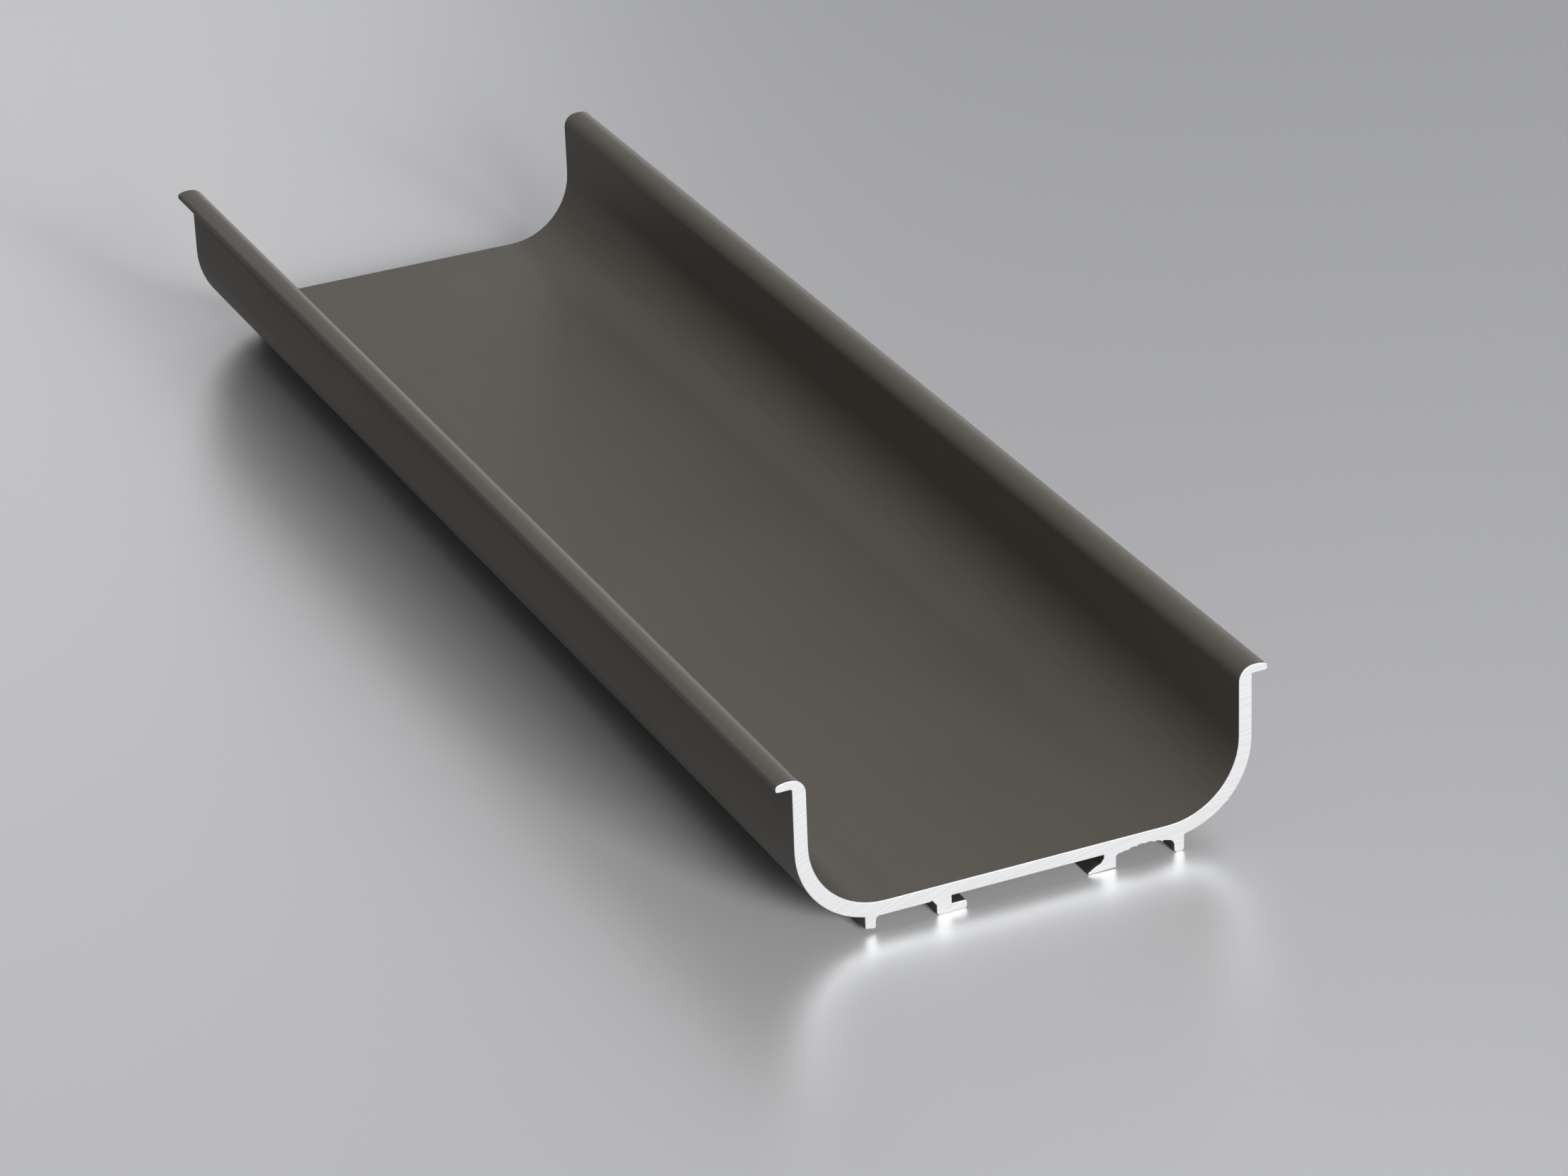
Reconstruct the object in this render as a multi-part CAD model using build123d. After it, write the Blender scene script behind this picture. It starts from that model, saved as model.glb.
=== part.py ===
from build123d import *
import os

# Handleless finger pull profile: one length of extruded aluminium with a C-shaped section.
# X runs across the section, Y along the length and Z up, with the open channel facing up.
# The part stands on the bottoms of its hooks and long rib. The section is drawn in x and z.

# Overall size
length = 235.0
width = 74.0                    # over the noses of the two lips
height = 26.0                   # from the hook bottoms to the tops of the lips

# Channel wall
flange_wall = 2.0
web_wall = 2.15
back_depth = 2.3                # how far the hooks stand out behind the web
inner_corner_radius = 11.0
outer_corner_radius = 12.7

# Lips, turned outwards over the panel edges
lip_overhang = 2.4
lip_thickness = 1.3             # under the highest line of the crown
lip_crown_radius = 4.5
lip_crown_inset = 1.8           # from the nose to the highest line of the crown
lip_shoulder_radius = 2.2
lip_nose_radius = 0.58          # upper edge of the nose
lip_edge_radius = 0.33          # lower edge of the nose
lip_root_radius = 0.3

# Clip seat between the two hooks, made for a bracket tongue
clip_width = 23.0
clip_clearance = 0.25
clip_relief = 0.2               # the web is this much thinner over the seat

# Fixed hook, on the -X side of the seat
fixed_hook_reach = 2.3
fixed_hook_stem = 2.25
fixed_hook_thickness = 1.25
fixed_hook_radius = 0.38
fixed_hook_heel_radius = 0.45
heel_bevel_width = 0.6
heel_bevel_depth = 0.75
heel_groove_radius = 0.25
heel_groove_depth = 0.1

# Snap hook, on the +X side of the seat, with a sloping barb
snap_hook_reach = 2.45
snap_hook_stem = 1.85
snap_throat_depth = 0.5         # straight part of the throat under the web
snap_neck = (0.55, 1.25)        # inward from the throat wall, height of the barb there
snap_cheek = (1.3, 0.98)
snap_tip_height = 0.3
snap_tip_radius = 0.12
snap_cheek_radius = 0.5
snap_heel_lift = 0.1
snap_heel_radius = 0.2
snap_root_radius = 0.55

# Ribs beside the outer corners
short_rib_centre = -23.8
short_rib_width = 1.6
short_rib_lift = 0.47           # clearance under its inner edge
short_rib_slope = 0.3           # further rise to its outer edge
short_rib_root_radius = 0.6
short_rib_tip_radius = 0.3
long_rib_centre = 23.28
long_rib_width = 1.55
long_rib_inner_root_radius = 1.0
long_rib_outer_root_radius = 0.3
long_rib_tip_radius = 0.45

# Flutes under the web, between the snap hook and the long rib
bay_pad = 0.15                  # the web is this much thicker over the bay
flute_count = 6
flute_pitch = 1.2
flute_radius = 1.1
flute_depth = 0.15
arch_span = 5.4
arch_rise = 0.45

# Places that follow from the sizes above
nose_x = width / 2
flange_outer = nose_x - lip_overhang
flange_inner = flange_outer - flange_wall
lip_under = height - lip_thickness
lip_crown_x = nose_x - lip_crown_inset
web_under = back_depth
web_top = web_under + web_wall
web_middle = web_under + web_wall / 2
seat_half = (clip_width + clip_clearance) / 2
seat_top = web_under + clip_relief
fixed_heel_x = -seat_half - fixed_hook_stem
snap_heel_x = seat_half + snap_hook_stem
short_rib_inner = short_rib_centre + short_rib_width / 2
short_rib_outer = short_rib_centre - short_rib_width / 2
long_rib_inner = long_rib_centre - long_rib_width / 2
long_rib_outer = long_rib_centre + long_rib_width / 2
bay_centre = (snap_heel_x + long_rib_inner) / 2
bay_under = web_under - bay_pad


def block(left, right, bottom, top):
    """Rectangle between two x and two z values."""
    return Pos((left + right) / 2, (bottom + top) / 2) * Rectangle(right - left, top - bottom)


def outline(*points):
    """Face inside the straight lines through the points."""
    return make_face(Polyline(*points, close=True))


def rounded(section, radius, *points):
    """The section with its corners nearest to the points rounded."""
    corners = [section.vertices().sort_by_distance(point)[0] for point in points]
    return fillet(corners, radius)


def lip_crown(side):
    """What the crown of a lip leaves away from its square top."""
    lip = block(min(side * flange_inner, side * nose_x), max(side * flange_inner, side * nose_x),
                lip_under, height)
    return lip - Pos(side * lip_crown_x, height - lip_crown_radius) * Circle(lip_crown_radius)


def channel():
    """C-shaped wall with its two lips."""
    body = block(-flange_outer, flange_outer, web_under, height)
    body = rounded(body, outer_corner_radius, (-flange_outer, web_under), (flange_outer, web_under))
    hollow = block(-flange_inner, flange_inner, web_top, height)
    hollow = rounded(hollow, inner_corner_radius, (-flange_inner, web_top), (flange_inner, web_top))
    section = body + block(-nose_x, nose_x, lip_under, height) - hollow
    for side in (-1, 1):
        section -= lip_crown(side)
        section = rounded(section, lip_shoulder_radius, (side * flange_inner, height))
        section = rounded(section, lip_nose_radius, (side * nose_x, height))
        section = rounded(section, lip_edge_radius, (side * nose_x, lip_under))
        section = rounded(section, lip_root_radius, (side * flange_outer, lip_under))
    return section


def fixed_hook():
    """L-shaped hook that takes the plain edge of the tongue."""
    stem = block(fixed_heel_x, -seat_half, 0, web_middle)
    toe_x = -seat_half + fixed_hook_reach
    toe = block(fixed_heel_x, toe_x, 0, fixed_hook_thickness)
    hook = rounded(stem + toe, fixed_hook_radius, (toe_x, 0), (toe_x, fixed_hook_thickness))
    hook = rounded(hook, fixed_hook_heel_radius, (fixed_heel_x, 0))
    bevel = outline(
        (fixed_heel_x - heel_bevel_width, web_under),
        (fixed_heel_x, web_under - heel_bevel_depth),
        (fixed_heel_x, web_middle),
        (fixed_heel_x - heel_bevel_width, web_middle),
    )
    return hook + bevel


def heel_groove():
    """Small groove along the foot of the fixed hook's bevel."""
    groove_x = fixed_heel_x - heel_bevel_width - heel_groove_radius / 2
    groove_z = web_under + heel_groove_depth - heel_groove_radius
    return Pos(groove_x, groove_z) * Circle(heel_groove_radius)


def snap_hook():
    """Sprung hook whose barb slopes down and inwards."""
    tip_x = seat_half - snap_hook_reach
    neck = (seat_half - snap_neck[0], snap_neck[1])
    cheek = (seat_half - snap_cheek[0], snap_cheek[1])
    hook = outline(
        (seat_half, web_middle),
        (seat_half, seat_top - snap_throat_depth),
        neck,
        cheek,
        (tip_x, snap_tip_height),
        (tip_x, 0),
        (snap_heel_x, snap_heel_lift),
        (snap_heel_x, web_middle),
    )
    hook = rounded(hook, snap_cheek_radius, neck, cheek)
    hook = rounded(hook, snap_tip_radius, (tip_x, 0), (tip_x, snap_tip_height))
    return rounded(hook, snap_heel_radius, (snap_heel_x, snap_heel_lift))


def short_rib():
    """Locating rib whose foot stays clear of the ground."""
    rib = outline(
        (short_rib_outer, web_middle),
        (short_rib_outer, short_rib_lift + short_rib_slope),
        (short_rib_inner, short_rib_lift),
        (short_rib_inner, web_middle),
    )
    return rounded(rib, short_rib_tip_radius, (short_rib_inner, short_rib_lift))


def long_rib():
    """Rib that the profile stands on."""
    rib = block(long_rib_inner, long_rib_outer, 0, web_middle)
    return rounded(rib, long_rib_tip_radius, (long_rib_inner, 0), (long_rib_outer, 0))


def flutes():
    """Shallow arch with a row of small hollow flutes along it."""
    left = (bay_centre - arch_span / 2, bay_under)
    right = (bay_centre + arch_span / 2, bay_under)
    cut = make_face([SagittaArc(left, right, arch_rise), Line(right, left)])
    arch_radius = (arch_span**2 / 4 + arch_rise**2) / (2 * arch_rise)
    for number in range(flute_count):
        offset = (number - (flute_count - 1) / 2) * flute_pitch
        drop = min(arch_rise, offset**2 / (2 * arch_radius))
        flute_top = bay_under + arch_rise - drop + flute_depth
        cut += Pos(bay_centre + offset, flute_top - flute_radius) * Circle(flute_radius)
    return cut


def profile_section():
    """Complete section of the extrusion."""
    flat_back = block(short_rib_outer, long_rib_outer, web_under, web_middle)
    flat_back += block(snap_heel_x, long_rib_inner, bay_under, web_middle)
    section = channel() + flat_back + fixed_hook() + snap_hook() + short_rib() + long_rib()
    section = rounded(section, short_rib_root_radius, (short_rib_inner, web_under))
    section = rounded(section, snap_root_radius, (snap_heel_x, bay_under))
    section = rounded(section, long_rib_inner_root_radius, (long_rib_inner, bay_under))
    section = rounded(section, long_rib_outer_root_radius, (long_rib_outer, web_under))
    section -= block(-seat_half, seat_half, web_under, seat_top)
    section -= heel_groove()
    section -= flutes()
    return section


def finger_pull_profile():
    """The section pushed out along Y, with both ends cut square."""
    return extrude(Plane.XZ * profile_section(), length / 2, both=True)


os.makedirs("parts", exist_ok=True)
export_step(finger_pull_profile(), "parts/finger_pull_profile.step")
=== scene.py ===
import math
import bmesh
import bpy
from mathutils import Matrix, Vector


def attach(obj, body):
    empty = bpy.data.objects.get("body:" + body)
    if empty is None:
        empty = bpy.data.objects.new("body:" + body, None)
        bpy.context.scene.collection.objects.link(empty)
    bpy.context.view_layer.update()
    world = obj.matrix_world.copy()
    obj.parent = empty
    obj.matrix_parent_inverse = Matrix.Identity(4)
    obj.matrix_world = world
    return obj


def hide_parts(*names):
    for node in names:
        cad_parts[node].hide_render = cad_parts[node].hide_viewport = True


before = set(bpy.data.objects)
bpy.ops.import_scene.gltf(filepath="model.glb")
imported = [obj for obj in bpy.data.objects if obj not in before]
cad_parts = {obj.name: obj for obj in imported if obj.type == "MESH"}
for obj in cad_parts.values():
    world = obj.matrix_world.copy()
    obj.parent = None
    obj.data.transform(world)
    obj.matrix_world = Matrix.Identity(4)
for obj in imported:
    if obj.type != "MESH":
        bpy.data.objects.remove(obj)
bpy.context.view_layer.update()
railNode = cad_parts["finger_pull_profile"]

scene = bpy.context.scene
scene.view_settings.view_transform = "Standard"


# Helpers for node trees

nodeStep = 200                                  # room for one node in the editor


def addNode(tree, kind, at, **settings):
    node = tree.nodes.new(kind)
    node.location = (at[0] * nodeStep, at[1] * nodeStep)    # at counts columns and rows
    for name, value in settings.items():
        setattr(node, name, value)
    return node


def setInputs(node, **values):
    for name, value in values.items():
        node.inputs[name.replace("_", " ")].default_value = value
    return node


def feed(tree, sockets, values):
    for socket, value in zip(sockets, values):
        if isinstance(value, bpy.types.NodeSocket):
            tree.links.new(value, socket)
        else:
            socket.default_value = value


def mathNode(tree, operation, at, *values):
    node = addNode(tree, "ShaderNodeMath", at, operation=operation)
    feed(tree, node.inputs, values)
    return node.outputs[0]


def rampNode(tree, at, fac, limits):
    node = addNode(tree, "ShaderNodeMapRange", at, interpolation_type="SMOOTHSTEP")
    setInputs(node, From_Min=limits[0], From_Max=limits[1])
    tree.links.new(fac, node.inputs["Value"])
    return node.outputs["Result"]


def mixColours(tree, at, *values):
    node = addNode(tree, "ShaderNodeMix", at, data_type="RGBA")
    feed(tree, (node.inputs[0], node.inputs[6], node.inputs[7]), values)    # share, two colours
    return node.outputs[2]


def bumpNode(tree, at, height, distance, under=None):
    node = addNode(tree, "ShaderNodeBump", at)
    setInputs(node, Strength=1.0, Distance=distance)
    tree.links.new(height, node.inputs["Height"])
    if under:
        tree.links.new(under, node.inputs["Normal"])
    return node.outputs[0]


def newMaterial(name):
    material = bpy.data.materials.new(name)
    material.use_nodes = True
    tree = material.node_tree
    tree.nodes.clear()
    output = addNode(tree, "ShaderNodeOutputMaterial", (8, 0))
    shader = addNode(tree, "ShaderNodeBsdfPrincipled", (6, 0))
    tree.links.new(shader.outputs[0], output.inputs["Surface"])
    return material, tree, shader


def newGroup(name, inputs, outputs):
    group = bpy.data.node_groups.new(name, "ShaderNodeTree")
    sockets = group.interface
    for label, value in inputs.items():
        socket = sockets.new_socket(name=label, in_out="INPUT", socket_type="NodeSocketFloat")
        socket.default_value = value
    for label in outputs:
        sockets.new_socket(name=label, in_out="OUTPUT", socket_type="NodeSocketFloat")
    start = addNode(group, "NodeGroupInput", (-2, 0))
    end = addNode(group, "NodeGroupOutput", (10, 0))
    return group, start, end


def placeGroup(tree, group, at, **values):
    node = addNode(tree, "ShaderNodeGroup", at, node_tree=group)
    return setInputs(node, **values)


# Camera, set by the vanishing points of the photo

photoCamera = {
    "azimuth": 24.07,                           # degrees from +Y towards +X
    "elevation": 26.37,
    "roll": -2.2,
    "lens": 127.84,                             # mm
    "sensor": 36.0,
    "place": (-0.29763, -0.70622, 0.37402),
    "sees": (0.05, 50),                         # nearest and farthest, metres
}


def makeCamera(look):
    data = bpy.data.cameras.new("photoCamera")
    data.lens = look["lens"]
    data.sensor_width = look["sensor"]
    data.clip_start, data.clip_end = look["sees"]
    camera = bpy.data.objects.new("photoCamera", data)
    turn = Matrix.Rotation(-math.radians(look["azimuth"]), 4, "Z")
    tip = Matrix.Rotation(math.pi / 2 - math.radians(look["elevation"]), 4, "X")
    lean = Matrix.Rotation(math.radians(look["roll"]), 4, "Z")
    camera.matrix_world = Matrix.Translation(look["place"]) @ turn @ tip @ lean
    scene.collection.objects.link(camera)
    scene.camera = camera


makeCamera(photoCamera)
print("Camera placed")


# Shared effect: fine lines drawn along the length by the extrusion die

dieLook = {
    "inputs": {"Line Width": 0.0003, "Line Length": 0.05},  # metres, each material gives its own
    "detail": 2.0,
    "roughness": 0.6,
    "contrast": (0.25, 0.75),                   # noise that counts as no line and as a full one
}


def makeDieLines(look):
    group, start, end = newGroup("dieLines", look["inputs"], ["Lines"])
    place = addNode(group, "ShaderNodeTexCoord", (-2, 1))
    split = addNode(group, "ShaderNodeSeparateXYZ", (-1, 1))
    group.links.new(place.outputs["Object"], split.inputs[0])
    width, run = start.outputs["Line Width"], start.outputs["Line Length"]
    across = mathNode(group, "DIVIDE", (0, 2), split.outputs["X"], width)
    along = mathNode(group, "DIVIDE", (0, 1), split.outputs["Y"], run)
    upward = mathNode(group, "DIVIDE", (0, 0), split.outputs["Z"], width)
    join = addNode(group, "ShaderNodeCombineXYZ", (1, 1))
    feed(group, join.inputs, (across, along, upward))
    noise = addNode(group, "ShaderNodeTexNoise", (2, 1))
    setInputs(noise, Scale=1.0, Detail=look["detail"], Roughness=look["roughness"])
    group.links.new(join.outputs[0], noise.inputs["Vector"])
    lines = rampNode(group, (3, 1), noise.outputs["Fac"], look["contrast"])
    group.links.new(lines, end.inputs["Lines"])
    return group


# Shared effect: the soft grain that etching leaves on the metal, and paler clouds in it

satinLook = {
    "inputs": {"Grain Size": 0.0001},           # metres, each material gives its own
    "grainDetail": 1.0,
    "cloudScale": 28.0,                         # clouds in a metre
    "cloudDetail": 3.0,
    "contrast": (0.3, 0.7),
}


def makeSatinGrain(look):
    group, start, end = newGroup("satinGrain", look["inputs"], ["Grain", "Cloud"])
    place = addNode(group, "ShaderNodeTexCoord", (-2, 1))
    fine = addNode(group, "ShaderNodeTexNoise", (0, 1))
    setInputs(fine, Detail=look["grainDetail"])
    group.links.new(place.outputs["Object"], fine.inputs["Vector"])
    fineness = mathNode(group, "DIVIDE", (-1, 0), 1.0, start.outputs["Grain Size"])
    group.links.new(fineness, fine.inputs["Scale"])
    grain = rampNode(group, (2, 1), fine.outputs["Fac"], look["contrast"])
    group.links.new(grain, end.inputs["Grain"])
    cloud = addNode(group, "ShaderNodeTexNoise", (0, -1))
    setInputs(cloud, Scale=look["cloudScale"], Detail=look["cloudDetail"])
    group.links.new(place.outputs["Object"], cloud.inputs["Vector"])
    clouds = rampNode(group, (2, -1), cloud.outputs["Fac"], look["contrast"])
    group.links.new(clouds, end.inputs["Cloud"])
    return group


dieLines = makeDieLines(dieLook)
satinGrain = makeSatinGrain(satinLook)
print("Shared effects made")


# Dark bronze anodised skin

anodised = {
    "colour": (0.083, 0.0745, 0.0625, 1),
    "paler": (0.094, 0.0845, 0.0710, 1),
    "paleLeast": 0.1,                           # share of the paler tone everywhere
    "paleCloud": 0.35,                          # and where the etch took more
    "metallic": 0.0,
    "roughness": 0.45,
    "roughnessSpread": 0.05,                    # between a die line and the next
    "specular": 0.17,
    "lineWidth": 0.0003,                        # metres
    "lineLength": 0.07,
    "lineDepth": 0.0000008,
    "grainSize": 0.00008,
    "grainDepth": 0.0000006,
}


def makeAnodised(look):
    material, tree, shader = newMaterial("darkBronzeAnodised")
    lines = placeGroup(tree, dieLines, (0, 1),
                       Line_Width=look["lineWidth"], Line_Length=look["lineLength"])
    grain = placeGroup(tree, satinGrain, (0, -1), Grain_Size=look["grainSize"])
    tint = mathNode(tree, "MULTIPLY_ADD", (2, 1),
                    grain.outputs["Cloud"], look["paleCloud"], look["paleLeast"])
    colour = mixColours(tree, (4, 1), tint, look["colour"], look["paler"])
    tree.links.new(colour, shader.inputs["Base Color"])
    rough = mathNode(tree, "MULTIPLY_ADD", (3, 0),
                     lines.outputs["Lines"], look["roughnessSpread"], look["roughness"])
    tree.links.new(rough, shader.inputs["Roughness"])
    grained = bumpNode(tree, (4, -1), grain.outputs["Grain"], look["grainDepth"])
    lined = bumpNode(tree, (5, -1), lines.outputs["Lines"], look["lineDepth"], grained)
    tree.links.new(lined, shader.inputs["Normal"])
    setInputs(shader, Metallic=look["metallic"], Specular_IOR_Level=look["specular"])
    return material


# Bare metal where the saw went through, with the arcs that its teeth leave

sawnMetal = {
    "colour": (0.80, 0.81, 0.82, 1),
    "brighter": (0.90, 0.905, 0.91, 1),
    "metallic": 0.7,
    "roughness": 0.45,
    "roughnessSpread": 0.08,
    "grainSize": 0.00012,                       # metres
    "bladeAxis": (0.04, -0.14),                 # x and z of the blade's axle
    "toothPitch": 0.00035,
    "toothDepth": 0.000004,
    "toothDetail": 3.0,
    "toothRoughness": 0.65,
    "toothContrast": (0.3, 0.7),
}


def makeSawnMetal(look):
    material, tree, shader = newMaterial("sawnAluminium")
    place = addNode(tree, "ShaderNodeTexCoord", (-3, 0))
    centre = addNode(tree, "ShaderNodeMapping", (-2, 0))
    axisX, axisZ = look["bladeAxis"]
    setInputs(centre, Location=(-axisX, 0, -axisZ), Scale=(1, 0, 1))
    tree.links.new(place.outputs["Object"], centre.inputs["Vector"])
    reach = addNode(tree, "ShaderNodeVectorMath", (-1, 0), operation="LENGTH")
    tree.links.new(centre.outputs[0], reach.inputs[0])
    rings = addNode(tree, "ShaderNodeTexNoise", (0, 0), noise_dimensions="1D")
    setInputs(rings, Scale=1 / look["toothPitch"], Detail=look["toothDetail"],
              Roughness=look["toothRoughness"])
    tree.links.new(reach.outputs["Value"], rings.inputs["W"])
    marks = rampNode(tree, (1, 0), rings.outputs["Fac"], look["toothContrast"])
    grain = placeGroup(tree, satinGrain, (0, -1), Grain_Size=look["grainSize"])
    colour = mixColours(tree, (4, 1), marks, look["colour"], look["brighter"])
    tree.links.new(colour, shader.inputs["Base Color"])
    rough = mathNode(tree, "MULTIPLY_ADD", (3, 0),
                     grain.outputs["Grain"], look["roughnessSpread"], look["roughness"])
    tree.links.new(rough, shader.inputs["Roughness"])
    sawn = bumpNode(tree, (5, -1), marks, look["toothDepth"])
    tree.links.new(sawn, shader.inputs["Normal"])
    setInputs(shader, Metallic=look["metallic"])
    return material


# The rail, from the construction's own surface: its large arcs rounded, its cut rims eased

railPiece = {
    "weld": 0.000001,                           # points nearer than this are one, metres
    "flatTurn": 0.05,                           # faces within this many degrees are one
    "capFacing": 0.99,                          # how squarely a sawn end looks along Y
    "longEdge": 0.1,                            # metres, only edges along the rail are longer
    "arcTurn": (2.0, 15.0),                     # degrees between two facets of an arc
    "arcFacet": 0.001,                          # facets wider than this are softened
    "arcEase": 0.00036,                         # metres to each side of their edge
    "arcSteps": 2,
    "rimEase": 0.0001,                          # metres taken off the sawn edge
    "rimSteps": 2,
    "sharpFrom": 32.0,                          # degrees between faces
}
skinPlace, sawnPlace = 0, 1                     # in the rail's list of materials


def isArcEdge(edge, look):
    if len(edge.link_faces) != 2 or edge.calc_length() < look["longEdge"]:
        return False
    least, most = look["arcTurn"]
    widths = [face.calc_area() / edge.calc_length() for face in edge.link_faces]
    return least < math.degrees(edge.calc_face_angle()) < most and min(widths) > look["arcFacet"]


def findCaps(form, look):
    return [face for face in form.faces if abs(face.normal.y) > look["capFacing"]]


def easeEdges(form, edges, offset, steps):
    return bmesh.ops.bevel(
        form, geom=edges, affect="EDGES", offset_type="OFFSET", offset=offset,
        segments=steps, profile=0.5, material=-1, clamp_overlap=False)["faces"]


def makeRail(look):
    mesh = bpy.data.meshes.new("anodisedRail")
    form = bmesh.new()
    form.from_mesh(railNode.data)
    bmesh.ops.remove_doubles(form, verts=form.verts, dist=look["weld"])
    for side in (-1, 1):
        cap = [face for face in findCaps(form, look) if face.normal.y * side > 0]
        bmesh.ops.dissolve_faces(form, faces=cap, use_verts=False)
    bmesh.ops.dissolve_limit(form, angle_limit=math.radians(look["flatTurn"]),
                             verts=form.verts, edges=form.edges)
    arcEdges = [edge for edge in form.edges if isArcEdge(edge, look)]
    easeEdges(form, arcEdges, look["arcEase"], look["arcSteps"])
    print("Arcs rounded,", len(arcEdges), "edges")
    caps = findCaps(form, look)
    for face in form.faces:
        face.smooth = True
        face.material_index = sawnPlace if face in caps else skinPlace
    rims = [edge for face in caps for edge in face.edges]
    eased = easeEdges(form, rims, look["rimEase"], look["rimSteps"])
    for face in eased:
        face.material_index = sawnPlace
    print("Rims eased,", len(eased), "faces")
    form.to_mesh(mesh)
    form.free()
    mesh.set_sharp_from_angle(angle=math.radians(look["sharpFrom"]))
    rail = bpy.data.objects.new("anodisedRail", mesh)
    scene.collection.objects.link(rail)
    mesh.materials.append(makeAnodised(anodised))
    mesh.materials.append(makeSawnMetal(sawnMetal))
    weighted = rail.modifiers.new("flatFacesFirst", "WEIGHTED_NORMAL")
    weighted.keep_sharp = True
    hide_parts("finger_pull_profile")
    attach(rail, "root")
    return rail


rail = makeRail(railPiece)
print("Rail made")


# Pale floor and soft studio light

studio = {
    "floorSize": 8.0,                           # metres
    "floorColour": (0.74, 0.74, 0.75, 1),
    "floorRoughness": 0.38,
    "floorMetallic": 0.5,
    "floorDrop": 0.00002,                       # below the rail's feet
    "worldColour": (0.95, 0.97, 1.0, 1),
    "worldLight": 0.03,                         # on matte surfaces
    "worldMirrored": 0.3,                       # in the floor and the metal
    "worldSeen": 0.45,                          # beyond the floor
}

# In metres and watts. "lights" names the only thing that a lamp reaches.
lamps = {
    "overhead": {"size": (0.9, 0.9), "place": (-0.24, -0.2, 1.14), "power": 10.1,
                 "mirrored": False, "lights": "rail"},
    "floorKey": {"size": (0.9, 0.8), "place": (0.08, -2.4, 0.78), "power": 119,
                 "mirrored": False, "lights": "floor"},
    "backPanel": {"size": (0.7, 0.5), "place": (0.06, 1.1, 0.43), "power": 0.86},
    "topRight": {"size": (0.3, 0.6), "place": (0.42, 0.5, 0.9), "power": 0.45},
    "frontWide": {"size": (2.4, 1.0), "place": (0.2, -1.3, 0.55), "power": 6.0},
    "frontLow": {"size": (0.8, 0.5), "place": (0.25, -1.1, 0.35), "power": 9.2,
                 "lights": "rail"},
    "backRight": {"size": (0.6, 0.4), "place": (0.75, 1.0, 0.2), "power": 2.4,
                  "lights": "rail"},
}


def makeFloor(look):
    mesh = bpy.data.meshes.new("floor")
    form = bmesh.new()
    bmesh.ops.create_grid(form, x_segments=1, y_segments=1, size=look["floorSize"] / 2)
    bmesh.ops.translate(form, verts=form.verts, vec=(0, 0, -look["floorDrop"]))
    form.to_mesh(mesh)
    form.free()
    floor = bpy.data.objects.new("floor", mesh)
    scene.collection.objects.link(floor)
    material, tree, shader = newMaterial("paleFloor")
    setInputs(shader, Base_Color=look["floorColour"], Roughness=look["floorRoughness"],
              Metallic=look["floorMetallic"])
    mesh.materials.append(material)
    return floor


def makeLamp(name, look, reached):
    data = bpy.data.lights.new(name, "AREA")
    data.shape = "RECTANGLE"
    data.size, data.size_y = look["size"]
    data.energy = look["power"]
    lamp = bpy.data.objects.new(name, data)
    lamp.location = look["place"]
    lamp.rotation_euler = (-Vector(look["place"])).to_track_quat("-Z", "Y").to_euler()
    lamp.visible_glossy = look.get("mirrored", True)
    if "lights" in look:
        lamp.light_linking.receiver_collection = reached[look["lights"]]
    scene.collection.objects.link(lamp)


def makeWorld(look):
    world = bpy.data.worlds.new("studioWorld")
    world.use_nodes = True
    scene.world = world
    tree = world.node_tree
    back = setInputs(tree.nodes["Background"], Color=look["worldColour"])
    ray = addNode(tree, "ShaderNodeLightPath", (-6, 2)).outputs
    mirrored = mathNode(tree, "MULTIPLY", (-2, 0), ray["Is Glossy Ray"], look["worldMirrored"])
    lit = mathNode(tree, "MULTIPLY_ADD", (-1, 1),
                   ray["Is Diffuse Ray"], look["worldLight"], mirrored)
    seen = mathNode(tree, "MULTIPLY_ADD", (0, 0), ray["Is Camera Ray"], look["worldSeen"], lit)
    tree.links.new(seen, back.inputs["Strength"])


makeWorld(studio)
reached = {}                                    # what a lamp can be kept to, by name
for name, thing in {"rail": rail, "floor": makeFloor(studio)}.items():
    reached[name] = bpy.data.collections.new(name + "Lit")
    reached[name].objects.link(thing)
for name, look in lamps.items():
    makeLamp(name, look, reached)
print("Studio lit")
